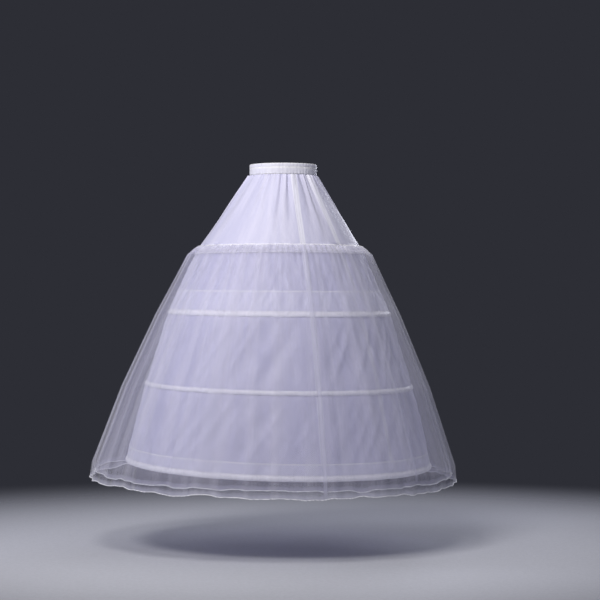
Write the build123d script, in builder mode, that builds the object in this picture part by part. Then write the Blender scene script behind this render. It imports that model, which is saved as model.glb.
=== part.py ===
"""A hoop petticoat, or crinoline: a gathered lining of three gores that carries four flat steel hoops
in sewn casings, under two layers of net that hang from the first hoop and end in corded hems.

Millimetres and degrees. The origin is the middle of the waist opening, halfway up the waistband. +Z is
up, the wearer faces -Y and the wearer's left is +X. Angles are counted from the front, towards +X.
Drops are measured at the middle of the skirt, down from the top edge of the waistband. The skirt hangs
further behind the waist than in front of it.
"""

import os
from math import atan, ceil, cos, degrees, hypot, radians, sin, tan

from build123d import *

# Cloth, and the gap at which one layer lies on another
cloth_wall = 1.0
seat_gap = 0.3

# Waistband
waist_radius = 102.0
band_height = 35.0
band_wall = 3.6
band_bevel = 1.0
buttonhole_length = 6.5
buttonhole_height = 3.8
buttonhole_depth = 2.4
buttonhole_spacing = 17.0

# Lining: where the yoke meets the net, then the lower edge of each hoop's casing
yoke_radius = 252.0
hoop_1_drop = 283.0
hoop_1_radius = 267.0
hoop_2_drop = 472.0
hoop_2_radius = 351.0
hoop_3_drop = 698.0
hoop_3_radius = 421.0
hoop_4_drop = 940.0
hoop_4_radius = 480.0
hem_lift = 22.0
yoke_back = 20.0
hem_back = 26.0
bore_clearance = 0.5
gather_depth = 6.5
gather_ease = 0.2
crease_angle = 8.6
seam_front_right = -17.0
seam_front_left = 13.0
seam_back = 184.0
seam_tape_width = 10.0
seam_tape_drop = 50.0

# Casings, and the flat steel bones inside them
casing_1_height = 17.0
casing_2_height = 77.0
casing_3_height = 14.0
casing_4_height = 50.0
bone_width = 5.0
bone_thickness = 0.8
bone_rise = 7.0
bone_room = 3.2
bone_end_gap = 2.0
joiner_length = 20.0
joiner_wall = 0.3
joiner_fit = 0.1

# Net
binding_height = 11.0
binding_wall = 2.0
binding_gap = 0.5
inner_net_lap = 4.0
net_radius_1 = 291.0
net_radius_2 = 387.0
net_radius_3 = 487.0
net_radius_4 = 573.0
net_hem_radius = 577.0
net_hem_drop = 986.0
net_hem_back = 58.0
net_layer_inset = 0.026
net_layer_rise = 20.0
net_fold = 0.013
net_creases = 72
hem_cord_size = 3.0

# Drawstring
string_diameter = 3.0
string_sides = 5
knot_width = 8.0
knot_depth = 8.5
knot_height = 9.0
knot_stand = 3.9
knot_bevel = 2.0
end_knot_size = 6.0
end_knot_bevel = 0.75

# How far a patch's fourth corner may be off the plane of the others and still count as flat
flat_enough = 1e-7

band_top = band_height / 2
band_bottom = -band_height / 2
band_outside = waist_radius + band_wall
gather_radius = waist_radius + bore_clearance + cloth_wall
knot_middle = band_outside + knot_stand + knot_depth / 2


def level(drop):
    """The height of something at a drop below the top edge of the waistband."""
    return band_top - drop


casing_heights = [casing_1_height, casing_2_height, casing_3_height, casing_4_height]
hoop_drops = [hoop_1_drop, hoop_2_drop, hoop_3_drop, hoop_4_drop]
hoop_radii = [hoop_1_radius, hoop_2_radius, hoop_3_radius, hoop_4_radius]
net_radii = [net_radius_1, net_radius_2, net_radius_3, net_radius_4]
binding_bottom = level(hoop_1_drop) + casing_1_height + binding_gap
binding_top = binding_bottom + binding_height

# The lining's outside, from the waist down: a height, a radius, how much its back is lifted there, and
# how far its middle hangs behind the waist's
lining_rows = [(band_bottom, gather_radius, 0.0, 0.0), (binding_top, yoke_radius, 0.0, yoke_back)]
for drop, radius in zip(hoop_drops, hoop_radii):
    lift = hem_lift * (drop - hoop_1_drop) / (hoop_4_drop - hoop_1_drop)
    share = (binding_top - level(drop)) / (binding_top - level(hoop_4_drop))
    lining_rows.append((level(drop), radius, lift, yoke_back + share * (hem_back - yoke_back)))


def lining_at(height):
    """The lining's radius, the lift of its back and how far back its middle is, at a height there."""
    for upper, lower in zip(lining_rows, lining_rows[1:]):
        if height >= lower[0]:
            break
    share = (upper[0] - height) / (upper[0] - lower[0])
    return [above + share * (below - above) for above, below in zip(upper[1:], lower[1:])]


def tilt_at(height):
    """How far the lining's rings lean back at a height, in degrees: more and more towards the hem."""
    radius, lift, _ = lining_at(height)
    return degrees(atan(lift / radius))


def ring_plane(height):
    """The plane of the lining's ring whose middle is at a height."""
    lean = radians(tilt_at(height))
    return Plane((0, lining_at(height)[2], height), x_dir=(1, 0, 0), z_dir=(0, -sin(lean), cos(lean)))


def spoke(radius, angle):
    """The point at a radius and an angle, seen from above, from the middle of its ring."""
    return (radius * sin(radians(angle)), -radius * cos(radians(angle)))


def on_ring(height, radius, angle):
    """The point at a radius and an angle on the leaning ring whose middle is at a height."""
    x, y = spoke(radius, angle)
    return Vector(x, y + lining_at(height)[2], height + y * tan(radians(tilt_at(height))))


def along(radius, start, end, distance):
    """The point that far from one crease towards the next, on the flat of the cloth between them."""
    x, y = spoke(radius, start)
    far_x, far_y = spoke(radius, end)
    share = distance / hypot(far_x - x, far_y - y)
    return (x + share * (far_x - x), y + share * (far_y - y))


def on_plane(plane, points):
    """Points seen from above, in the coordinates of a plane that leans back."""
    return [(x, y / plane.z_dir.Z) for x, y in points]


def creases(start, end):
    """The angles of a gore's creases from seam to seam: an even number of even steps."""
    steps = 2 * ceil((end - start) / crease_angle / 2)
    return [start + (end - start) * i / steps for i in range(steps + 1)]


seams = [seam_front_right, seam_front_left, seam_back, seam_front_right + 360]
gore_creases = [creases(start, end) for start, end in zip(seams, seams[1:])]
ring_creases = [angle for angles in gore_creases for angle in angles[:-1]]
joint_start, joint_end = gore_creases[2][:2]


def gather(index, angle):
    """How far a crease stands out at the waist: none and full in turn, never quite alike."""
    ease = 1 - gather_ease * (1 + sin(radians(7 * angle)) * cos(radians(11 * angle)))
    return gather_depth * ease * (index % 2)


def fold(angle):
    """The net's soft folds at an angle, from -1 to 1, the same at every height."""
    turn = radians(angle)
    return 0.5 * sin(13 * turn + 0.6) + 0.3 * sin(19 * turn + 2.1) + 0.2 * cos(24 * turn)


def lining_ring(radius):
    """The corners of a closed ring round the lining."""
    return [spoke(radius, angle) for angle in ring_creases]


def net_ring(radius):
    """The corners of a closed ring of net, with its soft folds."""
    angles = [360 * i / net_creases for i in range(net_creases)]
    return [spoke(radius * (1 + net_fold * fold(angle)), angle) for angle in angles]


def flat_facets(cloth):
    """A loft's patches as flat facets, creased along the diagonal that stands out further if twisted."""
    facets = []
    for patch in cloth.faces():
        if patch.geom_type == GeomType.PLANE:
            facets.append(patch)
            continue
        a, b, c, d = [patch.position_at(u, v) for u, v in ((0, 0), (1, 0), (1, 1), (0, 1))]
        twist = (b - a).cross(c - a).normalized().dot(d - a)
        if abs(twist) < flat_enough:
            facets.append(Face(Wire.make_polygon([a, b, c, d])))
            continue
        if hypot((a + c).X, (a + c).Y) < hypot((b + d).X, (b + d).Y):
            a, b, c, d = b, c, d, a
        facets.append(Face(Wire.make_polygon([a, b, c])))
        facets.append(Face(Wire.make_polygon([a, c, d])))
    return Solid(Shell(facets))


def keep(name, piece):
    """Names a finished piece and writes it to its own file."""
    piece.part.label = name
    export_step(piece.part, f"parts/{name}.step")
    return piece


def panel(name, sections):
    """A piece of cloth or flat steel with two ends, lofted through its sections: plane and outline."""
    with BuildPart() as piece:
        for plane, outline in sections:
            with BuildSketch(plane):
                with BuildLine():
                    Polyline(*on_plane(plane, outline), close=True)
                make_face()
        patches = loft(ruled=True, mode=Mode.PRIVATE)
        add(flat_facets(patches))
    return keep(name, piece)


def band(name, sections):
    """A piece that closes round the skirt, lofted through its sections: plane, outside and inside."""
    with BuildPart() as piece:
        for plane, outside, inside in sections:
            with BuildSketch(plane):
                with BuildLine():
                    Polyline(*on_plane(plane, outside), close=True)
                make_face()
                with BuildLine():
                    Polyline(*on_plane(plane, inside), close=True)
                make_face(mode=Mode.SUBTRACT)
        patches = loft(ruled=True, mode=Mode.PRIVATE)
        add(flat_facets(patches))
    return keep(name, piece)


def waistband():
    """The folded band, with two buttonholes at the back that let the drawstring out."""
    with BuildPart() as piece:
        with BuildSketch(Plane.XZ):
            with BuildLine():
                Polyline(
                    (waist_radius, band_bottom),
                    (band_outside, band_bottom),
                    (band_outside, band_top - band_bevel),
                    (band_outside - band_bevel, band_top),
                    (waist_radius, band_top),
                    close=True,
                )
            make_face()
        revolve(axis=Axis.Z)
        with BuildSketch(Plane.XZ.offset(-band_outside - band_wall)):
            with Locations((-buttonhole_spacing / 2, 0), (buttonhole_spacing / 2, 0)):
                SlotOverall(buttonhole_length, buttonhole_height)
        extrude(amount=band_wall + buttonhole_depth, mode=Mode.SUBTRACT)
    return keep("waistband", piece)


def gore(name, angles):
    """One panel of the lining, gathered at the waist seam and smooth from the first hoop down."""
    sections = []
    for height, radius, _, _ in lining_rows:
        depth = 1.0 if height == band_bottom else 0.0
        corners = [radius + depth * gather(i, angle) for i, angle in enumerate(angles)]
        outer = [spoke(r, angle) for r, angle in zip(corners, angles)]
        inner = [spoke(r - cloth_wall, angle) for r, angle in zip(corners, angles)]
        sections.append((ring_plane(height), outer + inner[::-1]))
    return panel(name, sections)


def seam_tape(name, before, seam, after):
    """The tape that binds a seam inside the lining, between the creases on either side of it."""
    sections = []
    heights = [level(seam_tape_drop)] + [row[0] for row in lining_rows[1:]]
    for height in heights:
        outer = lining_at(height)[0] - cloth_wall - seat_gap
        outline = []
        for radius, sides in ((outer, (before, after)), (outer - cloth_wall, (after, before))):
            ends = [along(radius, seam, side, seam_tape_width / 2) for side in sides]
            outline += [ends[0], spoke(radius, seam), ends[1]]
        sections.append((ring_plane(height), outline))
    return panel(name, sections)


def casing(name, hoop):
    """The strip sewn round the lining over a bone: flat on the lining at both of its edges."""
    bottom = level(hoop_drops[hoop])
    rows = [(bottom, seat_gap), (bottom + bone_rise, bone_room), (bottom + casing_heights[hoop], seat_gap)]
    sections = []
    for height, room in rows:
        inside = lining_at(height)[0] + room
        sections.append((ring_plane(height), lining_ring(inside + cloth_wall), lining_ring(inside)))
    return band(name, sections)


def bone_heights(hoop):
    """The lower and upper edge of a bone that lies flat on the sloping lining."""
    middle = level(hoop_drops[hoop]) + bone_rise
    rise = lining_rows[hoop + 1][0] - lining_rows[hoop + 2][0]
    spread = lining_rows[hoop + 2][1] - lining_rows[hoop + 1][1]
    half = bone_width / 2 * rise / hypot(rise, spread)
    return middle - half, middle + half


def bone_inside(height):
    """The radius of a bone's inner face, which leaves the joiner's wall clear of the lining."""
    return lining_at(height)[0] + seat_gap + joiner_wall + joiner_fit


def bone(name, hoop):
    """A flat steel hoop, open where its two ends meet in the joiner."""
    sections = []
    for height in bone_heights(hoop):
        faces = []
        for radius in (bone_inside(height) + bone_thickness, bone_inside(height)):
            middle = radius * sin(radians((joint_end - joint_start) / 2))
            first = along(radius, joint_start, joint_end, middle + bone_end_gap / 2)
            last = along(radius, joint_start, joint_end, middle - bone_end_gap / 2)
            start = ring_creases.index(joint_end)
            corners = [spoke(radius, angle) for angle in ring_creases[start:] + ring_creases[:start]]
            faces.append([first] + corners + [last])
        sections.append((ring_plane(height), faces[0] + faces[1][::-1]))
    return panel(name, sections)


def joiner(name, hoop):
    """The flat sleeve that both ends of a bone slide into."""
    corners = []
    for height in bone_heights(hoop):
        for radius in (bone_inside(height), bone_inside(height) + bone_thickness):
            start, end = [on_ring(height, radius, angle) for angle in (joint_start, joint_end)]
            corners.append((start + end) / 2)
    low_in, low_out, high_in, high_out = corners
    with BuildPart() as piece:
        with BuildSketch(Plane(sum(corners, Vector()) / 4, x_dir=high_in - low_in, z_dir=end - start)) as tube:
            with BuildLine():
                place = tube.workplanes[0].to_local_coords
                Polyline(place(low_in), place(low_out), place(high_out), place(high_in), close=True)
            steel = make_face(mode=Mode.PRIVATE)
            offset(steel, amount=joiner_fit + joiner_wall, kind=Kind.INTERSECTION)
            offset(steel, amount=joiner_fit, kind=Kind.INTERSECTION, mode=Mode.SUBTRACT)
        extrude(amount=joiner_length / 2, both=True)
    return keep(name, piece)


def net_binding():
    """The tape that holds the gathered tops of both nets on the lining, above the first hoop."""
    sections = []
    for height in (binding_bottom, binding_top):
        inside = lining_at(height)[0] + seat_gap
        sections.append((ring_plane(height), lining_ring(inside + binding_wall), lining_ring(inside)))
    return band("net_binding", sections)


def net_plane(height):
    """The level plane of the net's ring at a height: further back the nearer it is to the hem."""
    share = (binding_top - height) / (binding_top - level(net_hem_drop))
    return Plane((0, yoke_back + share * (net_hem_back - yoke_back), height))


def net_layer(name, top, share, hem):
    """A gathered layer of net, from its top on the binding down to its hem, and the cord in the hem."""
    start = (lining_at(top)[0] + 2 * seat_gap + binding_wall) / (1 - net_fold) + cloth_wall
    rows = [(top, start)]
    for drop, radius in zip(hoop_drops, net_radii):
        rows.append((level(drop), share * radius))
    rows.append((hem, share * net_hem_radius))
    sections = [(net_plane(h), net_ring(r), net_ring(r - cloth_wall)) for h, r in rows]
    band(name, sections)
    outside = share * net_hem_radius + (hem_cord_size - cloth_wall) / 2
    cord = []
    for height in (hem - seat_gap, hem - seat_gap - hem_cord_size):
        cord.append((net_plane(height), net_ring(outside), net_ring(outside - hem_cord_size)))
    band(f"{name}_hem_cord", cord)


def arc_radii(points):
    """The largest radius that each corner of a route leaves room for."""
    radii = []
    for before, corner, after in zip(points, points[1:], points[2:]):
        arriving = Vector(corner) - Vector(before)
        leaving = Vector(after) - Vector(corner)
        turn = radians(arriving.get_angle(leaving))
        radii.append(0.42 * min(arriving.length, leaving.length) / tan(turn / 2))
    return radii


def string_run(name, points):
    """A free stretch of the drawstring along its route."""
    radii = arc_radii(points)
    with BuildPart() as piece:
        with BuildLine():
            route = FilletPolyline(*points, radius=radii)
        with BuildSketch(Plane(route @ 0, z_dir=route % 0)):
            RegularPolygon(string_diameter / 2, string_sides)
        sweep()
    print(name, "length", round(route.length, 1), "radii", [round(r, 1) for r in radii])
    keep(name, piece)
    return Plane(route @ 1, z_dir=route % 1)


def drawstring_knot():
    """The knot of the bow, with the two strands that come out of the buttonholes into it."""
    with BuildPart() as piece:
        with BuildSketch(Plane.XZ.offset(-knot_middle - knot_depth / 2)):
            Rectangle(knot_width, knot_height)
        extrude(amount=knot_depth)
        chamfer(piece.edges(), length=knot_bevel)
        for side in (-1, 1):
            x = side * buttonhole_spacing / 2
            points = [
                (x, band_outside - buttonhole_depth / 2, 0),
                (x, knot_middle - string_diameter / 2, 0),
                (side * knot_width / 4, knot_middle - string_diameter / 2, 0),
            ]
            with BuildLine():
                route = Polyline(*points)
            with BuildSketch(Plane(route @ 0, z_dir=route % 0)):
                RegularPolygon(string_diameter / 2, string_sides)
            sweep(transition=Transition.RIGHT)
    return keep("drawstring_knot", piece)


def end_knots(ends):
    """The knots at the ends of the two tails."""
    with BuildPart() as piece:
        for end in ends:
            with BuildSketch(end.offset(seat_gap)):
                RegularPolygon(end_knot_size / 2, string_sides)
            extrude(amount=end_knot_size)
        chamfer(piece.edges(), length=end_knot_bevel)
    return keep("drawstring_end_knots", piece)


# The routes of the bow's loops and tails, chosen by hand from the back of the waist
left_loop = [
    (4.7, 115.5, 2.0),
    (19.0, 119.0, 6.5),
    (38.0, 113.0, 1.0),
    (47.0, 115.5, -18.0),
    (38.0, 124.8, -37.0),
    (18.0, 127.4, -27.0),
    (4.7, 116.5, -2.2),
]
right_loop = [
    (-4.7, 115.5, 2.0),
    (-18.0, 119.0, 5.0),
    (-33.0, 115.5, -2.0),
    (-36.0, 118.8, -20.0),
    (-22.0, 128.3, -31.0),
    (-9.5, 125.5, -16.0),
    (-4.7, 116.5, -2.2),
]
middle_tail = [
    (1.8, 114.0, -5.2),
    (2.6, 122.0, -23.0),
    (-2.5, 143.2, -51.5),
    (-1.0, 167.2, -84.5),
    (-5.5, 189.0, -115.0),
]
right_tail = [
    (-1.8, 114.0, -5.2),
    (-8.0, 122.0, -21.0),
    (-22.0, 140.0, -49.0),
    (-31.0, 159.6, -78.0),
    (-43.5, 178.0, -105.0),
]

os.makedirs("parts", exist_ok=True)
waistband()
gore("lining_front_gore", gore_creases[0])
gore("lining_left_gore", gore_creases[1])
gore("lining_right_gore", gore_creases[2])
seam_tape("front_right_seam_tape", gore_creases[2][-2] - 360, seam_front_right, gore_creases[0][1])
seam_tape("front_left_seam_tape", gore_creases[0][-2], seam_front_left, gore_creases[1][1])
seam_tape("back_seam_tape", gore_creases[1][-2], seam_back, gore_creases[2][1])
for hoop, where in enumerate(("first", "second", "third", "hem")):
    casing(f"{where}_hoop_casing", hoop)
    bone(f"{where}_hoop_bone", hoop)
    joiner(f"{where}_hoop_joiner", hoop)
net_binding()
net_layer("outer_net", binding_top, 1.0, level(net_hem_drop))
inner_top = binding_bottom + inner_net_lap
net_layer("inner_net", inner_top, 1 - net_layer_inset, level(net_hem_drop) + net_layer_rise)
drawstring_knot()
string_run("drawstring_left_loop", left_loop)
string_run("drawstring_right_loop", right_loop)
tail_ends = [string_run("drawstring_middle_tail", middle_tail)]
tail_ends.append(string_run("drawstring_right_tail", right_tail))
end_knots(tail_ends)
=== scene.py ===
"""Dresses the hooped petticoat's solids in cloth, net, steel and string, and lights it.

Metres and radians. The origin is the middle of the waist opening, halfway up the waistband. +Z is up,
the wearer faces -Y and the wearer's left is +X. Angles are counted from the front, towards +X.
Drops are measured down from the top edge of the waistband.
"""

from math import atan2, ceil, cos, exp, hypot, pi, radians, sin

import bmesh
import bpy
from bpy.props import FloatProperty, FloatVectorProperty, IntProperty, PointerProperty
from mathutils import Matrix, Vector, noise


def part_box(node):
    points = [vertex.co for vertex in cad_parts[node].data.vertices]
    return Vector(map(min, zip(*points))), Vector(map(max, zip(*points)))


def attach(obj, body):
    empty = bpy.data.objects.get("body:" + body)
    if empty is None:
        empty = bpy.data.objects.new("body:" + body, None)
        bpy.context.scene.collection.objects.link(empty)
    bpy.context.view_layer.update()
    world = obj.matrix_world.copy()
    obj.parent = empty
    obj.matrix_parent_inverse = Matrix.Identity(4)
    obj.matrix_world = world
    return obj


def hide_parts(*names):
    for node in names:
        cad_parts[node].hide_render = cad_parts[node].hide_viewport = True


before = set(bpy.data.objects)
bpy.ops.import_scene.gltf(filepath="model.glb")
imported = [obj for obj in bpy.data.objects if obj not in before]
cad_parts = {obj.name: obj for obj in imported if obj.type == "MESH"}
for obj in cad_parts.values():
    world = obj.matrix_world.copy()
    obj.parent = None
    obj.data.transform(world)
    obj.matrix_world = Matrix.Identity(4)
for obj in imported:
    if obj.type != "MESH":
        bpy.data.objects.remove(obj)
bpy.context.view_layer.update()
BAND_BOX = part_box("waistband")
BAND_TOP = BAND_BOX[1].z
HALF_WALL = 0.0005  # Half the thickness of a wall of cloth in the solids
NET_GAP = 0.0026  # How far the top of the net stands off the lining
SLANT = 1.07  # Length along the slanting cloth for each metre of height
WAVE = 0.314  # Width in metres of one wave of a wave texture whose scale is 1
LONG_WAY, REPEATS = 100, 20  # A profile that is spun in more steps than the first is an arc, repeated this often

bl_info = {
    "name": "Hooped petticoat",
    "version": (1, 0, 0),
    "blender": (4, 5, 0),
    "location": "3D View > Sidebar > Petticoat",
    "description": "Builds a hooped petticoat piece by piece around its solids",
    "category": "Object",
}


def srgb(code):
    """A colour written as #rrggbb, in the linear values that a shader takes."""
    parts = [int(code[i : i + 2], 16) / 255 for i in (1, 3, 5)]
    return [c / 12.92 if c <= 0.04045 else ((c + 0.055) / 1.055) ** 2.4 for c in parts] + [1.0]


def length(name, description, default):
    """A property for a length in metres."""
    return FloatProperty(name=name, description=description, default=default, unit="LENGTH", precision=4)


def colour(name, description, code):
    """A property for a colour written as #rrggbb."""
    settings = {"size": 4, "min": 0.0, "max": 1.0, "subtype": "COLOR", "default": srgb(code)}
    return FloatVectorProperty(name=name, description=description, **settings)


class BandSizes(bpy.types.PropertyGroup):
    """The waistband."""

    inside: length("Inside radius", "Radius of the waist opening", 0.102)
    outside: length("Outside radius", "Radius of the band's outer face", BAND_BOX[1].x)
    pucker: length("Pucker", "Depth of the small puckers that the drawstring makes", 0.0005)
    puckers: IntProperty(name="Puckers", description="Puckers round the band", default=58)
    stitching: FloatProperty(name="Stitching", description="Height of the row of stitches, as a share", default=0.62)
    cloth: colour("Cloth", "Colour of the cloth", "#eeedf9")
    shaded: colour("Clouds", "Colour of the faint clouds in the cloth", "#e3e2f3")
    doubled: colour("Doubled cloth", "Colour where the cloth lies double", "#f8f7ff")


class LiningSizes(bpy.types.PropertyGroup):
    """The lining and everything sewn on it."""

    waist: length("Waist radius", "Radius of the lining where it is gathered into the band", 0.103)
    yoke: length("Yoke radius", "Radius of the lining at the top of the net", 0.252)
    yoke_drop: length("Yoke drop", "Drop of the top of the net", 0.2545)
    drops: FloatVectorProperty(
        name="Hoop drops",
        description="Drop of the lower edge of each hoop's casing",
        size=4,
        default=(0.283, 0.472, 0.698, 0.940),
        unit="LENGTH",
    )
    radii: FloatVectorProperty(
        name="Hoop radii",
        description="Radius of the lining at each of those drops",
        size=4,
        default=(0.267, 0.351, 0.421, 0.480),
        unit="LENGTH",
    )
    lift: length("Hem lift", "How far the lining's hem is lifted at the back and lowered in front", 0.022)
    yoke_back: length("Yoke back", "How far behind the waist the skirt's middle is at the top of the net", 0.020)
    hem_back: length("Hem back", "How far behind the waist the middle of the lining's hem is", 0.026)
    gather: length("Gather depth", "How far the gathers stand out below the band", 0.0052)
    gathers: IntProperty(name="Gathers", description="Fine gathers round the waist", default=58)
    sag: length("Sag", "How far the cloth draws in between two hoops", 0.0035)
    wrinkle: length("Wrinkle", "Height of the soft wrinkles between two hoops", 0.0095)
    allowance: length("Seam allowance", "How far the cloth lies double on each side of a seam", 0.009)
    tape: length("Tape width", "Width of the tape that binds a seam inside", 0.010)
    seams: FloatVectorProperty(
        name="Seams",
        description="Angle of each of the lining's seams",
        size=3,
        default=(radians(-17), radians(13), radians(184)),
        unit="ROTATION",
    )
    cloth: colour("Cloth", "Colour of the cloth", "#d8d6ed")
    shaded: colour("Clouds", "Colour of the faint clouds in the cloth", "#cbcae5")
    doubled: colour("Doubled cloth", "Colour where the cloth lies double", "#e9e8f8")


class NetSizes(bpy.types.PropertyGroup):
    """Both layers of net and their corded hems."""

    radii: FloatVectorProperty(
        name="Radii",
        description="Radius of the outer net at the drop of each hoop and at its hem",
        size=5,
        default=(0.291, 0.387, 0.487, 0.573, 0.5765),
        unit="LENGTH",
    )
    hem_drop: length("Hem drop", "Drop of the outer net's hem", 0.986)
    hem_back: length("Hem back", "How far behind the waist the middle of the net's hem is", 0.058)
    lift: length("Hem lift", "How far the net's hem is lifted at the back and lowered in front", 0.018)
    inset: FloatProperty(name="Inset", description="How much narrower the inner net is", default=0.026)
    shorter: length("Shorter", "How much shorter the inner net is", 0.020)
    fold: FloatProperty(name="Fold", description="Depth of the soft folds, as a share of the radius", default=0.012)
    pleats: IntProperty(name="Pleats", description="Small pleats round the top of the net", default=96)
    pleat: length("Pleat depth", "Depth of those small pleats", 0.0026)
    ripple: length("Ripple", "Depth of the small upright ripples between the soft folds", 0.0026)
    wave: length("Hem wave", "Height of the waves of the hem", 0.0034)
    cord: length("Hem cord", "Thickness of the cord in the hem", 0.0030)
    mesh: length("Net mesh", "Width of one hole of the net", 0.0042)
    outer: colour("Outer net", "Colour of the outer net", "#d6d4f0")
    outer_streaks: colour("Outer streaks", "Colour of the outer net's brighter streaks", "#e3e1f6")
    inner: colour("Inner net", "Colour of the inner net", "#d2d0ee")
    inner_streaks: colour("Inner streaks", "Colour of the inner net's brighter streaks", "#dfddf4")
    satin: colour("Satin", "Colour of the hem cords", "#fbfbff")


class HoopSizes(bpy.types.PropertyGroup):
    """The flat steel hoops and their casings."""

    casings: FloatVectorProperty(
        name="Casing heights",
        description="Height of each casing",
        size=4,
        default=(0.017, 0.077, 0.014, 0.050),
        unit="LENGTH",
    )
    steel_width: length("Steel width", "Width of the flat steel", 0.005)
    steel_thickness: length("Steel thickness", "Thickness of the flat steel", 0.0008)
    rise: length("Rise", "Height of the middle of the steel above the lower edge of its casing", 0.007)
    room: length("Room", "How far the casing stands off over the steel", 0.0036)
    joiner: length("Joiner", "Length of the sleeve that joins the ends", 0.020)
    joint: FloatProperty(name="Joint", description="Angle of the joiners", default=radians(187.98), unit="ROTATION")
    coating: colour("Coating", "Colour of the hoops' coating", "#ececec")
    sleeve: colour("Sleeve", "Colour of the joiners' bare steel", "#b8b8bc")
    cloth: colour("Cloth", "Colour of the cloth", "#e2e1f4")
    shaded: colour("Clouds", "Colour of the faint clouds in the cloth", "#d9d8ef")
    doubled: colour("Doubled cloth", "Colour where the cloth lies double", "#fbfaff")


class StringSizes(bpy.types.PropertyGroup):
    """The drawstring and its bow."""

    diameter: length("Diameter", "Thickness of the string", 0.003)
    cotton: colour("Cotton", "Colour of the string", "#e4e5e8")


class StageSizes(bpy.types.PropertyGroup):
    """The camera, the lamps and the floor."""

    distance: length("Distance", "Distance from the camera to the waist's axis", 6.5)
    width: length("Width", "Width of what the camera sees at the waist's axis", 1.89)
    turn: FloatProperty(name="Turn", description="Angle of the camera", default=radians(-34), unit="ROTATION")
    eye: length("Eye height", "Height of the camera", -0.42)
    aim: length("Aim height", "Height of the middle of the picture", -0.408)
    aside: length("Aside", "How far the skirt stands left of the middle of the picture", 0.053)
    floor: length("Floor height", "Height of the floor", -1.180)
    paper: colour("Floor", "Colour of the floor", "#bfc0c8")
    backdrop: colour("Backdrop", "Colour of the backdrop", "#2d2e35")


GROUPS = {
    "petticoat_band": BandSizes,
    "petticoat_lining": LiningSizes,
    "petticoat_net": NetSizes,
    "petticoat_hoops": HoopSizes,
    "petticoat_string": StringSizes,
    "petticoat_stage": StageSizes,
}


# ---------------------------------------------------------------- materials

SMOOTH = {"interpolation_type": "SMOOTHSTEP"}
MIXED = {"output": 2, "data_type": "RGBA"}


def add(tree, kind, inputs=None, output=0, **settings):
    """Adds a node, sets it up, joins or fills its inputs, and gives one of its outputs. Inputs 0 to 4 of a
    Map Range node are the value, the range it comes from and the range it goes to. Those of a mix of colours
    are 0, the share of the second one, and 6 and 7, the two colours."""
    made = tree.nodes.new("ShaderNode" + kind)
    for key, value in settings.items():
        setattr(made, key, value)
    for socket, value in (inputs or {}).items():
        if isinstance(value, bpy.types.NodeSocket):
            tree.links.new(value, made.inputs[socket])
        else:
            made.inputs[socket].default_value = value
    return made.outputs[output]


def start_material(name, settings):
    """A new material, its node tree and its Principled shader, with plain values set on its own sockets."""
    made = bpy.data.materials.new(name)
    made.use_nodes = True
    shader = made.node_tree.nodes["Principled BSDF"]
    for socket, value in settings.items():
        shader.inputs[socket].default_value = value
    return made, made.node_tree, shader


def taffeta(name, colours, strip, roughness):
    """Plain-woven polyester taffeta, white with a cool lavender cast. It is thin, so it looks whiter where it
    lies double, along seams and over a hoop's channel. Faint clouds and rumples show in it, and its slubs."""
    gloss = {"Roughness": roughness, "Specular IOR Level": 0.35, "Sheen Weight": 0.3, "Sheen Roughness": 0.45}
    made, tree, shader = start_material(name, gloss)
    where = add(tree, "UVMap")
    seam = add(tree, "Attribute", output="Fac", attribute_name="seam_distance")
    tall = add(tree, "Mapping", {"Vector": where, "Scale": (11.0, 3.0, 1.0)})
    cloudy = add(tree, "TexNoise", {"Vector": tall, "Scale": 1.0, "Detail": 4.0, "Roughness": 0.6}, "Fac")
    clouds = add(tree, "MapRange", {0: cloudy, 1: 0.36, 2: 0.64}, **SMOOTH)
    base = add(tree, "Mix", {0: clouds, 6: colours.shaded, 7: colours.cloth}, **MIXED)
    # The real ribs are 0.25 mm apart, too fine for this picture, so slubs about 2 mm apart stand for them
    slubs = []
    for scale in ((90.0, 640.0, 1.0), (640.0, 90.0, 1.0)):
        stretched = add(tree, "Mapping", {"Vector": where, "Scale": scale})
        slubs.append(add(tree, "TexNoise", {"Vector": stretched, "Scale": 1.0, "Detail": 2.0}, "Fac"))
    weave = add(tree, "Math", {0: slubs[0], 1: slubs[1]}, operation="MULTIPLY")
    ribs = add(tree, "MapRange", {0: weave, 1: 0.18, 2: 0.34, 3: 0.10, 4: 0.0}, **SMOOTH)
    base = add(tree, "Mix", {0: ribs, 6: base, 7: colours.shaded}, **MIXED)
    edge = add(tree, "MapRange", {0: seam, 1: 0.75 * strip, 2: 1.25 * strip, 3: 1.0, 4: 0.0}, **SMOOTH)
    base = add(tree, "Mix", {0: edge, 6: base, 7: colours.doubled}, **MIXED)
    tree.links.new(base, shader.inputs["Base Color"])
    rumples = add(tree, "TexNoise", {"Vector": where, "Scale": 24.0, "Detail": 4.0, "Roughness": 0.6}, "Fac")
    relief = add(tree, "Math", {0: weave, 1: 0.12, 2: rumples}, operation="MULTIPLY_ADD")
    # A row of stitches holds each strip down, 4 mm from its middle
    aside = add(tree, "Math", {0: seam, 1: 0.0040}, operation="SUBTRACT")
    thread = add(tree, "Math", {0: aside}, operation="ABSOLUTE")
    sunk = add(tree, "MapRange", {0: thread, 1: 0.0, 2: 0.0009, 3: 1.0, 4: 0.0}, **SMOOTH)
    relief = add(tree, "Math", {0: sunk, 1: -0.3, 2: relief}, operation="MULTIPLY_ADD")
    bump = add(tree, "Bump", {"Strength": 0.6, "Distance": 0.004, "Height": relief})
    tree.links.new(bump, shader.inputs["Normal"])
    return made


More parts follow.
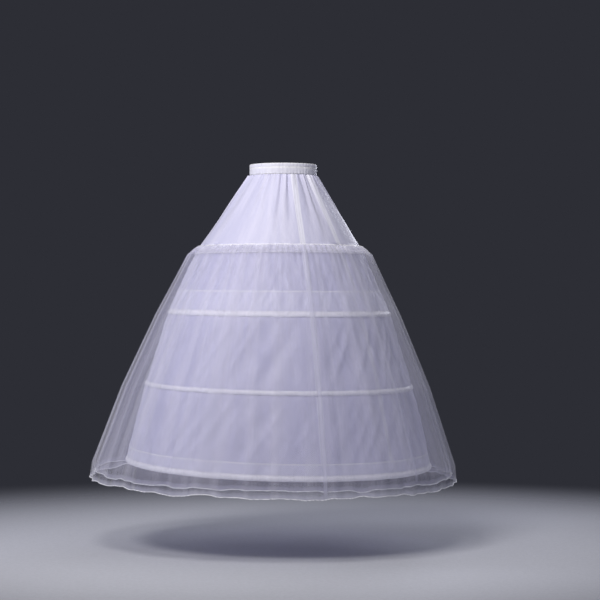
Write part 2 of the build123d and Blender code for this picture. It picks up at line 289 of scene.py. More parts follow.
def tulle(name, plain, bright, thin, full, hole):
    """Soft nylon tulle. Its threads are finer than the picture can show, so it reads as a pale haze that is
    thicker along its soft folds, with a faint net of holes, and nearly solid along its seam and hem."""
    gloss = {"Roughness": 0.55, "Specular IOR Level": 0.3, "Sheen Weight": 1.0, "Sheen Roughness": 0.5}
    made, tree, shader = start_material(name, gloss)
    where = add(tree, "UVMap")
    seam = add(tree, "Attribute", output="Fac", attribute_name="seam_distance")
    fall = add(tree, "Mapping", {"Vector": where, "Scale": (21.0, 0.8, 1.0)})
    streaks = add(tree, "TexNoise", {"Vector": fall, "Scale": 1.0, "Detail": 5.0, "Roughness": 0.65}, "Fac")
    haze = add(tree, "MapRange", {0: streaks, 1: 0.34, 2: 0.68, 3: thin, 4: full}, **SMOOTH)
    # The real holes are 1 mm wide, so they are drawn about four times as wide
    turned = add(tree, "Mapping", {"Vector": where, "Rotation": (0, 0, pi / 4)})
    lattice = []
    for direction in ("X", "Y"):
        keys = {"Vector": turned, "Scale": WAVE / hole, "Distortion": 0.0}
        wave = add(tree, "TexWave", keys, "Fac", bands_direction=direction)
        lattice.append(add(tree, "Math", {0: wave, 1: 6.0}, operation="POWER"))
    threads = add(tree, "Math", {0: lattice[0], 1: lattice[1]}, operation="MAXIMUM")
    netted = add(tree, "Math", {0: threads, 1: 0.5, 2: 0.8}, operation="MULTIPLY_ADD")
    alpha = add(tree, "Math", {0: haze, 1: netted}, operation="MULTIPLY")
    joined = add(tree, "MapRange", {0: seam, 1: 0.0030, 2: 0.0085, 3: 0.26, 4: 0.0}, **SMOOTH)
    alpha = add(tree, "Math", {0: alpha, 1: joined}, operation="ADD")
    alpha = add(tree, "Math", {0: alpha, 1: 0.92}, operation="MINIMUM")
    tree.links.new(alpha, shader.inputs["Alpha"])
    folds = add(tree, "MapRange", {0: streaks, 1: 0.35, 2: 0.66}, **SMOOTH)
    tint = add(tree, "Mix", {0: folds, 6: plain, 7: bright}, **MIXED)
    tree.links.new(tint, shader.inputs["Base Color"])
    bump = add(tree, "Bump", {"Strength": 0.3, "Distance": 0.002, "Height": threads})
    tree.links.new(bump, shader.inputs["Normal"])
    return made


def corded(name, bright, period, roughness, sheen):
    """A round cord: bright, with the slant of its strands across it and painted shade in the grooves between them.
    """
    made, tree, shader = start_material(name, {"Roughness": roughness, "Sheen Weight": sheen})
    where = add(tree, "TexCoord", output="Object")
    keys = {"Vector": where, "Scale": WAVE / period, "Distortion": 1.5, "Detail": 1.0}
    strands = add(tree, "TexWave", keys, "Fac", bands_direction="DIAGONAL")
    raised = add(tree, "MapRange", {0: strands, 1: 0.0, 2: 0.6}, **SMOOTH)
    # The grooves between the strands get a greyer colour, which is painted shade
    base = add(tree, "Mix", {0: raised, 6: srgb("#c9cad4"), 7: bright}, **MIXED)
    tree.links.new(base, shader.inputs["Base Color"])
    bump = add(tree, "Bump", {"Strength": 0.8, "Distance": 0.0006, "Height": strands})
    tree.links.new(bump, shader.inputs["Normal"])
    return made


def sprung_steel(name, clean, metallic, roughness):
    """Flat steel: rolled along its length, with small specks of wear."""
    made, tree, shader = start_material(name, {"Metallic": metallic})
    where = add(tree, "TexCoord", output="Object")
    specks = add(tree, "TexNoise", {"Vector": where, "Scale": 240.0, "Detail": 4.0}, "Fac")
    worn = add(tree, "MapRange", {0: specks, 1: 0.62, 2: 0.70}, **SMOOTH)
    base = add(tree, "Mix", {0: worn, 6: clean, 7: srgb("#8b8d92")}, **MIXED)
    tree.links.new(base, shader.inputs["Base Color"])
    rough = add(tree, "MapRange", {0: specks, 1: 0.3, 2: 0.7, 3: roughness, 4: roughness + 0.15}, **SMOOTH)
    tree.links.new(rough, shader.inputs["Roughness"])
    bump = add(tree, "Bump", {"Strength": 0.25, "Distance": 0.0002, "Height": specks})
    tree.links.new(bump, shader.inputs["Normal"])
    return made


def material(name):
    """A material by its name, made when it is first asked for."""
    if name in bpy.data.materials:
        return bpy.data.materials[name]
    scene = bpy.context.scene
    band, lining, hoops = scene.petticoat_band, scene.petticoat_lining, scene.petticoat_hoops
    net, string = scene.petticoat_net, scene.petticoat_string
    # What makes each material, and what it takes after the name
    recipes = {
        "TaffetaLiningWoven": (taffeta, lining, lining.allowance, 0.5),
        "TaffetaCasingSewn": (taffeta, hoops, 0.005, 0.45),
        "TaffetaWaistbandFolded": (taffeta, band, 0.005, 0.45),
        "TulleOuterNylonSoft": (tulle, net.outer, net.outer_streaks, 0.19, 0.30, net.mesh),
        "TulleInnerNylonSoft": (tulle, net.inner, net.inner_streaks, 0.17, 0.27, net.mesh),
        "HemCordSatinWrapped": (corded, net.satin, 0.004, 0.35, 0.3),
        "DrawstringCottonBraided": (corded, string.cotton, 0.0022, 0.8, 0.5),
        "SpringSteelWhiteCoated": (sprung_steel, hoops.coating, 0.0, 0.35),
        "SleeveSteelCrimped": (sprung_steel, hoops.sleeve, 1.0, 0.3),
    }
    recipe, *settings = recipes[name]
    return recipe(name, *settings)


# ---------------------------------------------------------------- shapes


def ease(value):
    """0 below 0, 1 above 1, and a smooth rise between."""
    value = min(max(value, 0.0), 1.0)
    return value * value * (3 - 2 * value)


def rumple(angle, height, across, along, seed):
    """Smooth noise on the skirt's surface, from -1 to 1, that joins up with itself all round. Across and along
    say how fine it is, and the seed picks one of many like it."""
    return noise.noise(Vector((across * cos(angle), across * sin(angle), along * height + seed)))


def level(drop):
    """The height of something at a drop below the top edge of the waistband."""
    return BAND_TOP - drop


def between(rows, height):
    """The values at a height, in rows of a height and values that run downwards."""
    for upper, lower in zip(rows, rows[1:]):
        if height >= lower[0]:
            break
    share = (upper[0] - height) / (upper[0] - lower[0])
    return [a + share * (b - a) for a, b in zip(upper[1:], lower[1:])]


class Skirt:
    """Where the surfaces of the lining and the nets lie, worked out from the sizes."""

    def __init__(self, scene):
        s = scene.petticoat_lining
        self.drops, self.radii = list(s.drops), list(s.radii)
        self.gather, self.gathers, self.sag, self.wrinkle = s.gather, s.gathers, s.sag, s.wrinkle
        self.top, self.yoke, self.hem = BAND_BOX[0].z, level(s.yoke_drop), level(self.drops[3])
        self.channel = 2 * scene.petticoat_hoops.rise
        # A height, a radius, how much the back is lifted there, and how far back the ring's middle is
        self.rows = [(self.top, s.waist, 0.0, 0.0), (self.yoke, s.yoke, 0.0, s.yoke_back)]
        for drop, radius in zip(self.drops, self.radii):
            lift = s.lift * (drop - self.drops[0]) / (self.drops[3] - self.drops[0])
            share = (self.yoke - level(drop)) / (self.yoke - self.hem)
            self.rows.append((level(drop), radius, lift, s.yoke_back + share * (s.hem_back - s.yoke_back)))
        n = scene.petticoat_net
        self.net_hem, self.wave = level(n.hem_drop), n.wave
        self.fold, self.pleats, self.pleat, self.ripple = n.fold, n.pleats, n.pleat, n.ripple
        self.net_back, self.net_lift = (s.yoke_back, n.hem_back), n.lift
        self.net_rows = [(self.yoke, (s.yoke + NET_GAP) / (1 - n.fold) + HALF_WALL)]
        self.net_rows += list(zip([row[0] for row in self.rows[2:]] + [self.net_hem], n.radii))

    def radius(self, height):
        """The lining's radius at a height."""
        return between(self.rows, height)[0]

    def swell(self, angle, height):
        """How far the lining stands off its plain shape: gathers in the yoke, then soft drags and wrinkles."""
        if height >= self.yoke:
            down = (self.top - height) / (self.top - self.yoke)
            drift = 2.2 * rumple(angle, down, 3.0, 0.4, 4.0) + 0.9 * rumple(angle, down, 9.0, 0.8, 1.0)
            fine = 0.5 + 0.5 * sin(self.gathers * angle + 2.0 * drift)
            broad = 0.5 + 0.5 * sin(21 * angle + 1.7 * drift + 1.0)
            fine *= 0.6 + 0.8 * rumple(angle, down, 6.0, 0.3, 12.0)
            broad *= 0.75 + 0.9 * rumple(angle, down, 4.0, 0.4, 15.0)
            soft = rumple(angle, down, 5.0, 1.6, 7.0)
            out = self.gather * (0.8 * fine * exp(-4.5 * down) + 1.3 * broad * (1 - ease(down)) ** 0.8)
            return out + 0.005 * soft * sin(pi * down)
        for upper, lower in zip(self.rows[1:], self.rows[2:]):
            if height >= lower[0]:
                break
        # The cloth lies smooth over a hoop's channel, so that the steel keeps inside it
        share = max(0.0, min(1.0, (upper[0] - height) / (upper[0] - lower[0] - self.channel)))
        free = sin(pi * share)
        # Drags run slantwise from the hoops, so the noise is sheared one way and then the other
        left = rumple(angle + 1.3 * height, height, 7.0, 2.4, 3.0)
        right = rumple(angle - 1.5 * height, height, 8.0, 2.6, 23.0)
        drag = 1 - abs(left) * 2.6 + 1 - abs(right) * 2.6
        fine = rumple(angle, height, 13.0, 12.0, 8.0)
        return -self.sag * free + self.wrinkle * (0.42 * drag + 0.42 * fine) * free**0.6

    def on_lining(self, angle, radius, height):
        """Where a point goes that lies on the lining, or on something flat on it."""
        base, lift, back = between(self.rows, height)
        out = radius + self.swell(angle, height)
        return out * sin(angle), back - out * cos(angle), height - out * cos(angle) * lift / base

    def on_hoop(self, angle, radius, height):
        """Where a point goes that belongs to a hoop, which keeps clear of the cloth's wrinkles."""
        base, lift, back = between(self.rows, height)
        return radius * sin(angle), back - radius * cos(angle), height - radius * cos(angle) * lift / base

    def folds(self, angle, height, seed):
        """How far the net's folds stand out at a point, as a length for a radius of one metre."""
        broad = 0.5 * sin(13 * angle + 0.6) + 0.3 * sin(19 * angle + 2.1) + 0.2 * cos(24 * angle)
        drift = 2.4 * rumple(angle, height, 3.0, 0.5, seed)
        grown = ease((self.yoke - height) / 0.22)
        small = sin(43 * angle + drift) * (0.5 + rumple(angle, height, 5.0, 0.4, seed + 3.0))
        small += 0.6 * sin(71 * angle - 1.6 * drift) * (0.5 + rumple(angle, height, 7.0, 0.6, seed + 6.0))
        # The ripples are as deep as their size says where the net's radius is 0.5 m
        return self.fold * broad + self.ripple / 0.5 * small * grown

    def on_net(self, angle, radius, height, hem, seed):
        """Where a point of the net goes, with its folds, its pleats and the waves of its hem."""
        down, up = max(0.0, self.yoke - height), max(0.0, height - hem)
        pleat = sin(self.pleats * angle + 2.5 * rumple(angle, 0.0, 4.0, 0.0, seed))
        radius *= 1 + self.folds(angle, height, seed)
        radius += self.pleat * pleat * exp(-down / 0.07) * ease(down / 0.01)
        drift = 5.0 * rumple(angle, 0.0, 4.0, 0.0, seed + 9.0)
        wave = 0.35 * sin(23 * angle + drift)
        wave += 2.2 * rumple(angle, 0, 6, 0, seed) + 1.1 * rumple(angle, 0, 15, 0, seed + 2)
        curl = cos(29 * angle + 1.3 * drift + seed)
        radius += 0.6 * self.wave * curl * exp(-up / 0.04)
        share = (self.yoke - height) / (self.yoke - self.net_hem)
        back = self.net_back[0] + share * (self.net_back[1] - self.net_back[0])
        rise = self.wave * wave * exp(-up / 0.07) - self.net_lift * share * cos(angle)
        return radius * sin(angle), back - radius * cos(angle), height + rise


def spin_profile(rows, start, end, steps, closed=False):
    """Draws a profile of (radius, height) points and spins it round the waist's axis. An open profile
    makes a sheet, and a closed one a bar. A long way round is one short arc, repeated."""
    made = bmesh.new()
    point = [rows[0][0] * sin(start), -rows[0][0] * cos(start), rows[0][1]]
    first = last = bmesh.ops.create_vert(made, co=point)["vert"][0]
    for radius, height in rows[1:]:
        last = bmesh.ops.extrude_vert_indiv(made, verts=[last])["verts"][0]
        last.co = (radius * sin(start), -radius * cos(start), height)
    if closed:
        bmesh.ops.contextual_create(made, geom=[first, last])
    repeats = REPEATS if steps > LONG_WAY else 1
    arc = (end - start) / repeats
    axis = {"cent": (0, 0, 0), "axis": (0, 0, 1)}
    bmesh.ops.spin(made, geom=made.verts[:] + made.edges[:], angle=arc, steps=ceil(steps / repeats), **axis)
    if repeats > 1:
        geometry = made.verts[:] + made.edges[:] + made.faces[:]
        bmesh.ops.spin(made, geom=geometry, angle=arc * (repeats - 1), steps=repeats - 1, use_duplicate=True, **axis)
    bmesh.ops.remove_doubles(made, verts=made.verts[:], dist=4e-6)
    if closed and end - start < 2 * pi - 0.001:
        bmesh.ops.holes_fill(made, edges=[edge for edge in made.edges if edge.is_boundary], sides=0)
    return made


def finish_mesh(name, made, place, material_name, slot, replaces, seam=None, closed=False, reference=0.4):
    """Moves each point to its place, lays out the surface for the weave, and makes the object.
    seam(angle, radius, height) gives how far the point is from the middle of the nearest doubled strip."""
    uv = made.loops.layers.uv.new("UVMap")
    for face in made.faces:
        middle = face.calc_center_median()
        near = atan2(middle.x, -middle.y)
        for loop in face.loops:
            x, y, z = loop.vert.co
            angle = atan2(x, -y)
            angle += 2 * pi * round((near - angle) / (2 * pi))
            loop[uv].uv = (angle * reference, z * SLANT)
        face.smooth = True
    far = made.verts.layers.float.new("seam_distance")
    for vert in made.verts:
        x, y, z = vert.co
        angle, radius = atan2(x, -y), hypot(x, y)
        vert[far] = seam(angle, radius, z) if seam else 1.0
        vert.co = place(angle, radius, z)
    if closed:
        bmesh.ops.recalc_face_normals(made, faces=made.faces[:])
    else:
        made.normal_update()
        middles = [face.calc_center_median() for face in made.faces]
        outward = sum(face.normal.xy.dot(middle.xy) for face, middle in zip(made.faces, middles))
        if outward < 0:
            bmesh.ops.reverse_faces(made, faces=made.faces[:])
    return dress(to_object(name, made), material_name, slot, replaces)


def to_object(name, made):
    """An object that holds a finished mesh."""
    data = bpy.data.meshes.new(name)
    made.to_mesh(data)
    made.free()
    return bpy.data.objects.new(name, data)


def dress(piece, material_name, slot, replaces):
    """Puts a finished piece in the scene, in its material, in place of its solids if it has any."""
    bpy.context.collection.objects.link(piece)
    piece.data.materials.append(material(material_name))
    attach(piece, "root")
    if replaces:
        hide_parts(*replaces)
    return piece


# ---------------------------------------------------------------- pieces


def turn(axis, angle):
    """A turn about one axis, as a matrix."""
    return Matrix.Rotation(angle, 3, axis)


class PETTICOAT_OT_waistband(bpy.types.Operator):
    """Builds the folded waistband, puckered by its drawstring, with two buttonholes at the back"""

    bl_idname = "petticoat.waistband"
    bl_label = "Waistband"
    bl_options = {"REGISTER", "UNDO"}

    def execute(self, context):
        s = context.scene.petticoat_band
        top, bottom = BAND_TOP, BAND_BOX[0].z
        inside, outside = s.inside, s.outside
        rows = [(inside, bottom), (outside - 0.0008, bottom)]
        for i in range(1, 15):
            groove = 0.0002 if i in (3, 10) else 0.0
            rows.append((outside - groove, bottom + (top - bottom - 0.0022) * i / 14))
        rows += [(outside - 0.0004, top - 0.0010), (outside - 0.0013, top - 0.0002)]
        rows += [(inside + 0.001, top), (inside, top - 0.0005)]
        made = spin_profile(rows, 0, 2 * pi, 720, closed=True)

        def place(angle, radius, height):
            outer = ease((radius - inside) / (outside - inside))
            up = (height - bottom) / (top - bottom)
            row = exp(-((up - s.stitching) ** 2) / 0.0012)
            pucker = sin(s.puckers * angle + 3 * rumple(angle, 0, 5, 0, 2)) * (0.35 + 0.65 * abs(2 * up - 1) ** 0.6)
            out = radius + outer * (s.pucker * (0.7 * pucker + rumple(angle, height, 9, 30, 5) - 0.3) - 0.0006 * row)
            rise = 0.0008 * outer * rumple(angle, 0, 12, 0, 31) * ease((up - 0.7) / 0.3)
            return out * sin(angle), -out * cos(angle), height - abs(rise)

        def seam(angle, radius, height):
            stitches = bottom + s.stitching * (top - bottom)
            return min(abs(height - top), abs(height - stitches), abs(height - bottom)) + 0.0022

        finish_mesh(
            "waistband", made, place, "TaffetaWaistbandFolded", "waistband", ["waistband"], seam, True, outside
        )
        self.buttonholes(s)
        return {"FINISHED"}

    def buttonholes(self, s):
        """The two buttonholes: a thread edge round a dark slot."""
        for side, name in ((1, "left_buttonhole"), (-1, "right_buttonhole")):
            made = bmesh.new()
            ring = bmesh.ops.create_circle(made, segments=8, radius=0.00045)["verts"]
            bmesh.ops.rotate(made, verts=ring, cent=(0, 0, 0), matrix=turn("X", pi / 2))
            bmesh.ops.translate(made, verts=ring, vec=(0.0019, 0, 0))
            thread = made.verts[:] + made.edges[:]
            middle = {"cent": (0, 0, 0), "axis": (0, 0, 1)}
            bmesh.ops.spin(made, geom=thread, angle=2 * pi, steps=32, use_merge=True, **middle)
            slot = bmesh.ops.create_circle(made, cap_ends=True, segments=32, radius=0.0018)["verts"]
            bmesh.ops.translate(made, verts=slot, vec=(0, 0, 0.0001))
            bmesh.ops.scale(made, verts=made.verts[:], vec=(1.6, 1.0, 0.8))
            bmesh.ops.rotate(made, verts=made.verts[:], cent=(0, 0, 0), matrix=turn("X", -pi / 2))
            bmesh.ops.translate(made, verts=made.verts[:], vec=(side * 0.0085, s.outside + 0.0002, 0))
            bmesh.ops.recalc_face_normals(made, faces=made.faces[:])
            dress(to_object(name, made), "DrawstringCottonBraided", "waistband", [])


class PETTICOAT_OT_lining(bpy.types.Operator):
    """Builds the lining's three gores and the tapes inside its seams"""

    bl_idname = "petticoat.lining"
    bl_label = "Lining"
    bl_options = {"REGISTER", "UNDO"}

    def execute(self, context):
        s, skirt = context.scene.petticoat_lining, Skirt(context.scene)
        heights = []
        marks = [row[0] for row in skirt.rows]
        for upper, lower in zip(marks, marks[1:]):
            count = max(3, ceil((upper - lower) / 0.0085))
            heights += [upper + (lower - upper) * i / count for i in range(count)]
        heights.append(marks[-1])
        profile = [(skirt.radius(h) - HALF_WALL, h) for h in heights]
        right, left, back = s.seams
        gores = (
            ("lining_front_gore", right, left, (0.27, 0.97), 0.19),
            ("lining_left_gore", left, back, (1.45, 0.99), 1.03),
            ("lining_right_gore", back, right + 2 * pi, (1.35, 0.99), 0.96),
        )
        for name, start, end, flat, area in gores:

            def seam(angle, radius, height, start=start, end=end):
                around = (angle - start + 0.01) % (2 * pi) - 0.01
                return radius * min(abs(around), abs(end - start - around))

            made = spin_profile(profile, start, end, ceil((end - start) / radians(0.6)))
            cloth = finish_mesh(name, made, skirt.on_lining, "TaffetaLiningWoven", "lining", [name], seam)
        tapes = (("front_right_seam_tape", right), ("front_left_seam_tape", left), ("back_seam_tape", back))
        for name, angle in tapes:
            self.tape(name, angle, [h for h in heights if h < level(0.050)], s.tape, skirt)
        return {"FINISHED"}

    def tape(self, name, seam_angle, heights, width, skirt):
        """The tape that binds a seam inside, spun narrow and then spread to its even width."""
        outer = [(skirt.radius(h) - 0.0018, h) for h in heights]
        inner = [(radius - 0.0006, h) for radius, h in reversed(outer)]
        made = spin_profile(outer + inner, seam_angle - 0.01, seam_angle + 0.01, 4, closed=True)
        for vert in made.verts:
            x, y, z = vert.co
            around = (atan2(x, -y) - seam_angle + pi) % (2 * pi) - pi
            radius = hypot(x, y)
            at = seam_angle + around / 0.01 * width / 2 / radius
            vert.co = (radius * sin(at), -radius * cos(at), z)
        finish_mesh(name, made, skirt.on_lining, "TaffetaCasingSewn", "seam_tape", [name], None, True)


class PETTICOAT_OT_hoops(bpy.types.Operator):
    """Builds the four casings, the flat steel hoops inside them, and the sleeves that join their ends"""

    bl_idname = "petticoat.hoops"
    bl_label = "Hoops"
    bl_options = {"REGISTER", "UNDO"}

    def execute(self, context):
        s, skirt = context.scene.petticoat_hoops, Skirt(context.scene)
        for hoop, where in enumerate(("first", "second", "third", "hem")):
            self.casing(f"{where}_hoop_casing", hoop, s, skirt)
            self.steel(where, hoop, s, skirt)
        return {"FINISHED"}

    def casing(self, name, hoop, s, skirt):
        """The strip sewn round the lining: round over the steel, and flat above it."""
        bottom, height, channel = level(skirt.drops[hoop]), s.casings[hoop], 2 * s.rise
        rises = [channel * i / 10 for i in range(11)]
        spare = height - channel
        if spare > 0.001:
            count = max(3, ceil(spare / 0.005))
            rises += [channel + spare * (i + 1) / count for i in range(count)]
        rows = []
        for rise in rises:
            bulge = max(0.0, cos((rise - s.rise) / s.rise * pi / 2)) if rise < channel else 0.0
            radius = skirt.radius(min(bottom + rise, skirt.top))
            rows.append((radius + 0.0004 + (s.room - 0.0004) * bulge**0.7, bottom + rise))
        made = spin_profile(rows, 0, 2 * pi, 600)

        def place(angle, radius, z):
            inside = sin(pi * min(1.0, max(0.0, (z - bottom) / height)))
            rough = 0.0009 * inside * (rumple(angle, z, 60, 40, hoop) + rumple(angle, z, 22, 9, hoop + 5))
            x, y, up = skirt.on_lining(angle, radius + rough, z)
            return x, y, up + 0.0008 * rumple(angle, 0, 9, 0, hoop + 2)

        def seam(angle, radius, z):
            rise = z - bottom
            return 0.0015 + min(max(0.0, rise - channel), abs(height - rise))

        finish_mesh(name, made, place, "TaffetaCasingSewn", "casing", [name], seam)

    def steel(self, where, hoop, s, skirt):
        """One flat steel hoop, open at its joint, and the sleeve over its two ends."""
        middle = level(skirt.drops[hoop]) + s.rise
        radius = skirt.radius(middle) + 0.0016
        above, below = skirt.rows[hoop + 1], skirt.rows[hoop + 2]
        slope = (below[1] - above[1]) / (above[0] - below[0])

        def outline(half_width, half_thickness):
            flat = ((-1, -0.8), (-1, 0.8), (-0.97, 1), (0.97, 1), (1, 0.8), (1, -0.8), (0.97, -1), (-0.97, -1))
            return [(radius - slope * u * half_width + v * half_thickness, middle + u * half_width) for u, v in flat]

        gap, sleeve = 0.001 / radius, s.joiner / 2 / radius
        half_steel = (s.steel_width * 0.47, s.steel_thickness / 2)
        parts = (
            ("bone", half_steel, (gap, 2 * pi - gap), 480, "SpringSteelWhiteCoated"),
            ("joiner", (0.0030, 0.0009), (-sleeve, sleeve), 6, "SleeveSteelCrimped"),
        )
        for kind, half, (start, end), steps, metal in parts:
            made = spin_profile(outline(*half), s.joint + start, s.joint + end, steps, closed=True)
            name = f"{where}_hoop_{kind}"
            slot = "hoop_steel" if kind == "bone" else "joiner_steel"
            finish_mesh(name, made, skirt.on_hoop, metal, slot, [name], None, True)


class PETTICOAT_OT_nets(bpy.types.Operator):
    """Builds the tape that holds the nets, the two layers of net, and the cords in their hems"""

    bl_idname = "petticoat.nets"
    bl_label = "Nets"
    bl_options = {"REGISTER", "UNDO"}

    def execute(self, context):
        scene = context.scene
        s, skirt = scene.petticoat_net, Skirt(scene)
        top, bottom = skirt.yoke, level(skirt.drops[0]) + scene.petticoat_hoops.casings[0] + 0.0005
        rows = []
        for i in range(9):
            height = bottom + (top - bottom) * i / 8
            rows.append((skirt.radius(height) + 0.0006 + 0.0017 * sin(pi * i / 8) ** 0.5, height))
        made = spin_profile(rows, 0, 2 * pi, 720)

        def place(angle, radius, z):
            pucker = 0.0004 * sin(s.pleats * angle + 2.5 * rumple(angle, 0.0, 4.0, 0.0, 1.0))
            x, y, up = skirt.on_lining(angle, radius + pucker, z)
            return x, y, up + 0.0007 * rumple(angle, 0, 9, 0, 6)

        def seam(angle, radius, z):
            return min(abs(z - top), abs(z - bottom)) + 0.001

        finish_mesh("net_binding", made, place, "TaffetaCasingSewn", "net_binding", ["net_binding"], seam)
        hem, inner_hem = skirt.net_hem, skirt.net_hem + s.shorter
        layers = (
            ("outer_net", "TulleOuterNylonSoft", 1.0, top - 0.001, hem, 1.0, (3.62, 0.80)),
            ("inner_net", "TulleInnerNylonSoft", 1 - s.inset, bottom + 0.004, inner_hem, 6.0, (3.53, 0.77)),
        )
        for layer in layers:
            self.layer(*layer, s, skirt)
        return {"FINISHED"}

    def layer(self, name, material_name, share, top, hem, seed, flat, s, skirt):
        """One layer of net and its hem cord."""
        heights = [top - 0.0045 * i for i in range(9)]
        while heights[-1] > hem + 0.09:
            heights.append(heights[-1] - 0.015)
        count, start = ceil((heights[-1] - hem) / 0.006), heights[-1]
        heights += [start + (hem - start) * (i + 1) / count for i in range(count)]
        profile = []
        for height in heights:
            narrowed = (1 - share) * ease((skirt.yoke - height) / 0.03)
            profile.append((between(skirt.net_rows, height)[0] * (1 - narrowed) - HALF_WALL, height))
        made = spin_profile(profile, 0, 2 * pi, 900)
        joins = (radians(174), radians(-18)) if share == 1.0 else (radians(194), radians(17))

        def place(angle, radius, z):
            return skirt.on_net(angle, radius, z, hem, seed)

        def seam(angle, radius, z):
            gaps = [abs((angle - join + pi) % (2 * pi) - pi) * radius for join in joins]
            return min(gaps + [0.45 * (z - hem) + 0.0012, 0.3 * (top - z) + 0.001])

        hem_radius = share * s.radii[4]
        net = finish_mesh(name, made, place, material_name, name, [name], seam, False, hem_radius)
        ring = [2 * pi * i / 8 for i in range(8)]
        rows = [(hem_radius + s.cord / 2 * cos(t), hem - 0.0013 + s.cord / 2 * sin(t)) for t in ring]
        made = spin_profile(rows, 0, 2 * pi, 900, closed=True)

        def place_cord(angle, radius, z):
            x, y, up = skirt.on_net(angle, hem_radius, hem, hem, seed)
            out = radius - hem_radius
            return x + out * sin(angle), y - out * cos(angle), up + (z - hem)

        cord_name = f"{name}_hem_cord"
        cord = finish_mesh(cord_name, made, place_cord, "HemCordSatinWrapped", "hem_cord", [cord_name], None, True)


# The drawstring's routes, the same points as its solids
ROUTES = {
    "left_loop": (
        (0.0047, 0.1155, 0.0020), (0.0190, 0.1190, 0.0065), (0.0380, 0.1130, 0.0010), (0.0470, 0.1155, -0.0180),
        (0.0380, 0.1248, -0.0370), (0.0180, 0.1274, -0.0270), (0.0047, 0.1165, -0.0022),
    ),
    "right_loop": (
        (-0.0047, 0.1155, 0.0020), (-0.0180, 0.1190, 0.0050), (-0.0330, 0.1155, -0.0020), (-0.0360, 0.1188, -0.0200),
        (-0.0220, 0.1283, -0.0310), (-0.0095, 0.1255, -0.0160), (-0.0047, 0.1165, -0.0022),
    ),
    "middle_tail": (
        (0.0018, 0.1140, -0.0052), (0.0026, 0.1220, -0.0230), (-0.0025, 0.1432, -0.0515),
        (-0.0010, 0.1672, -0.0845), (-0.0055, 0.1890, -0.1150),
    ),
    "right_tail": (
        (-0.0018, 0.1140, -0.0052), (-0.0080, 0.1220, -0.0210), (-0.0220, 0.1400, -0.0490),
        (-0.0310, 0.1596, -0.0780), (-0.0435, 0.1780, -0.1050),
    ),
}
# The real lengths of the runs of string that those routes draw
LENGTHS = {"left_loop": 0.1249, "right_loop": 0.0991, "middle_tail": 0.1338, "right_tail": 0.1259}


class PETTICOAT_OT_drawstring(bpy.types.Operator):
    """Builds the drawstring's bow, its knot, its two tails and the knots at their ends"""

    bl_idname = "petticoat.drawstring"
    bl_label = "Drawstring"
    bl_options = {"REGISTER", "UNDO"}

    def execute(self, context):
        scene = context.scene
        thick = scene.petticoat_string.diameter
        knot = self.knot("drawstring_knot", Vector((0, 0.11375, 0)), Vector((1, 0, 0)), 0.0033, 0.0011, thick)
        band = scene.petticoat_band.outside
        for side in (1, -1):
            strand = ((0.0085, band - 0.0015, 0), (0.0084, 0.1115, 0.0002), (0.006, 0.1132, 0), (0.001, 0.1136, 0))
            self.spline(knot.data, [(side * x, y, z) for x, y, z in strand])
        dress(knot, "DrawstringCottonBraided", "drawstring", ["drawstring_knot"])
        ends, tails = [], []
        for key, real in LENGTHS.items():
            route = ROUTES[key]
            name = f"drawstring_{key}"
            string = self.curve(name, thick)
            self.spline(string.data, route)
            dress(string, "DrawstringCottonBraided", "drawstring", [name])
            if "tail" in key:
                last, before = Vector(route[-1]), Vector(route[-2])
                heading = (last - before).normalized()
                ends.append((last + heading * 0.0028, heading))
                tails.append((string, route, real))
            else:
                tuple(route[0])
        end_piece = self.curve("drawstring_end_knots", thick * 0.8)
        for middle, heading in ends:
            self.wraps(end_piece.data, middle, heading, 0.0020, 0.0009)
        dress(end_piece, "DrawstringCottonBraided", "drawstring", ["drawstring_end_knots"])
        for string, route, real in tails:
            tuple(route[0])
        return {"FINISHED"}

    def curve(self, name, thick):
        """An empty curve that is as thick as the string."""
        data = bpy.data.curves.new(name, "CURVE")
        data.dimensions = "3D"
        data.bevel_depth = thick / 2
        data.bevel_resolution = 3
        data.resolution_u = 10
        data.use_fill_caps = True
        return bpy.data.objects.new(name, data)

    def spline(self, data, points):
        """One smooth run of string through its control points."""
        run = data.splines.new("NURBS")
        run.points.add(len(points) - 1)
        for point, place in zip(run.points, points):
            point.co = (*place, 1.0)
        run.order_u = 3
        run.use_endpoint_u = True

    def wraps(self, data, middle, axis, reach, advance):
        """Two and a half turns of string round a knot."""
        side = axis.cross(Vector((0, 0.3, 1))).normalized()
        other = axis.cross(side).normalized()
        points = []
        for i in range(21):
            angle = i * pi / 4
            along = axis * (advance * (angle / pi - 2.5) * 0.8)
            points.append(middle + along + side * reach * cos(angle) + other * reach * sin(angle))
        self.spline(data, points)

    def knot(self, name, middle, axis, reach, advance, thick):
        """The bow's knot."""
        piece = self.curve(name, thick)
        self.wraps(piece.data, middle, axis, reach, advance)
        return piece


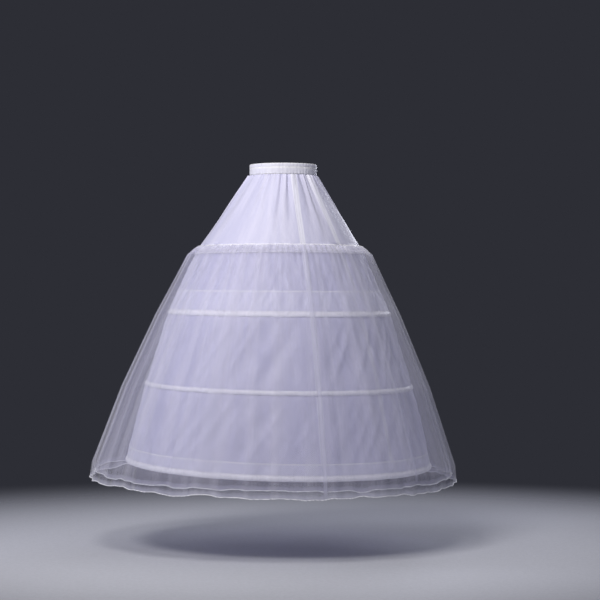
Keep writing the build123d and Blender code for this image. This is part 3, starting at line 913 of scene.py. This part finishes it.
class PETTICOAT_OT_stage(bpy.types.Operator):
    """Sets up the camera, the soft lamps, the backdrop and the floor"""

    bl_idname = "petticoat.stage"
    bl_label = "Stage"
    bl_options = {"REGISTER", "UNDO"}

    def execute(self, context):
        scene = context.scene
        s = scene.petticoat_stage
        across = Vector((cos(s.turn), sin(s.turn), 0))
        back = Vector((sin(s.turn), -cos(s.turn), 0))
        aim = across * s.aside + Vector((0, 0, s.aim))
        data = bpy.data.cameras.new("Camera")
        data.sensor_width = 36
        data.lens = 36 * s.distance / s.width
        camera = bpy.data.objects.new("Camera", data)
        camera.location = back * s.distance + across * s.aside + Vector((0, 0, s.eye))
        camera.rotation_euler = (aim - camera.location).to_track_quat("-Z", "Y").to_euler()
        scene.collection.objects.link(camera)
        scene.camera = camera
        lamps = (
            ("Key", (-1.50, -0.95, 1.35), 0.9, 48.0, "#fffdfb"),
            ("Fill", (2.2, -2.6, 0.8), 2.2, 10.0, "#e9edff"),
            ("LeftRim", (-3.0, 2.2, 0.5), 1.4, 36.0, "#eef0ff"),
            ("RightRim", (2.9, 2.0, 0.7), 1.4, 34.0, "#eef0ff"),
        )
        for name, place, size, power, tint in lamps:
            light = bpy.data.lights.new(name, "AREA")
            light.shape, light.size, light.energy = "DISK", size, power
            light.color = srgb(tint)[:3]
            lamp = bpy.data.objects.new(name, light)
            lamp.location = place
            lamp.rotation_euler = (Vector((0, 0, s.aim)) - lamp.location).to_track_quat("-Z", "Y").to_euler()
            scene.collection.objects.link(lamp)
        self.world(scene, s)
        self.floor(s)
        scene.view_settings.view_transform = "Standard"
        return {"FINISHED"}

    def world(self, scene, s):
        """A soft even light, behind which the picture shows a dark slate backdrop."""
        world = bpy.data.worlds.new("Studio")
        world.use_nodes = True
        tree = world.node_tree
        seen = add(tree, "LightPath", output="Is Camera Ray")
        soft = add(tree, "Background", {"Color": srgb("#e6e8f2"), "Strength": 0.16})
        shown = add(tree, "Background", {"Color": s.backdrop, "Strength": 1.0})
        both = add(tree, "MixShader", {0: seen, 1: soft, 2: shown})
        tree.links.new(both, tree.nodes["World Output"].inputs["Surface"])
        scene.world = world

    def floor(self, s):
        """A pale round floor that fades into the backdrop at its edge."""
        made = bmesh.new()
        bmesh.ops.create_circle(made, cap_ends=True, segments=96, radius=3.4)
        bmesh.ops.translate(made, verts=made.verts[:], vec=(0, 0, s.floor))
        floor = to_object("floor", made)
        bpy.context.collection.objects.link(floor)
        matte, tree, shader = start_material("FloorPaperMatte", {"Roughness": 0.8})
        where = add(tree, "TexCoord", output="Object")
        flat = add(tree, "VectorMath", {0: where, 1: (1, 1, 0)}, operation="MULTIPLY")
        far = add(tree, "VectorMath", {0: flat}, "Value", operation="LENGTH")
        grain = add(tree, "TexNoise", {"Vector": where, "Scale": 120.0, "Detail": 3.0}, "Fac")
        fibres = add(tree, "MapRange", {0: grain, 1: 0.3, 2: 0.7}, **SMOOTH)
        paper = add(tree, "Mix", {0: fibres, 6: s.paper, 7: srgb("#c6c7cf")}, **MIXED)
        tree.links.new(paper, shader.inputs["Base Color"])
        clear = add(tree, "BsdfTransparent")
        edge = add(tree, "MapRange", {0: far, 1: 0.8, 2: 2.5}, **SMOOTH)
        both = add(tree, "MixShader", {0: edge, 1: shader.outputs[0], 2: clear})
        tree.links.new(both, tree.nodes["Material Output"].inputs["Surface"])
        floor.data.materials.append(matte)


class PETTICOAT_PT_panel(bpy.types.Panel):
    """Lists the pieces to build."""

    bl_label = "Petticoat"
    bl_idname = "PETTICOAT_PT_panel"
    bl_space_type = "VIEW_3D"
    bl_region_type = "UI"
    bl_category = "Petticoat"

    def draw(self, context):
        for operator in OPERATORS:
            self.layout.operator(operator.bl_idname)


OPERATORS = (
    PETTICOAT_OT_waistband,
    PETTICOAT_OT_lining,
    PETTICOAT_OT_hoops,
    PETTICOAT_OT_nets,
    PETTICOAT_OT_drawstring,
    PETTICOAT_OT_stage,
)
CLASSES = (*GROUPS.values(), *OPERATORS, PETTICOAT_PT_panel)


def register():
    for kind in CLASSES:
        bpy.utils.register_class(kind)
    for name, group in GROUPS.items():
        setattr(bpy.types.Scene, name, PointerProperty(type=group))


def unregister():
    for name in GROUPS:
        delattr(bpy.types.Scene, name)
    for kind in reversed(CLASSES):
        bpy.utils.unregister_class(kind)


def main():
    register()
    bpy.ops.petticoat.waistband()
    bpy.ops.petticoat.lining()
    bpy.ops.petticoat.hoops()
    bpy.ops.petticoat.nets()
    bpy.ops.petticoat.drawstring()
    bpy.ops.petticoat.stage()


if __name__ == "__main__":
    main()
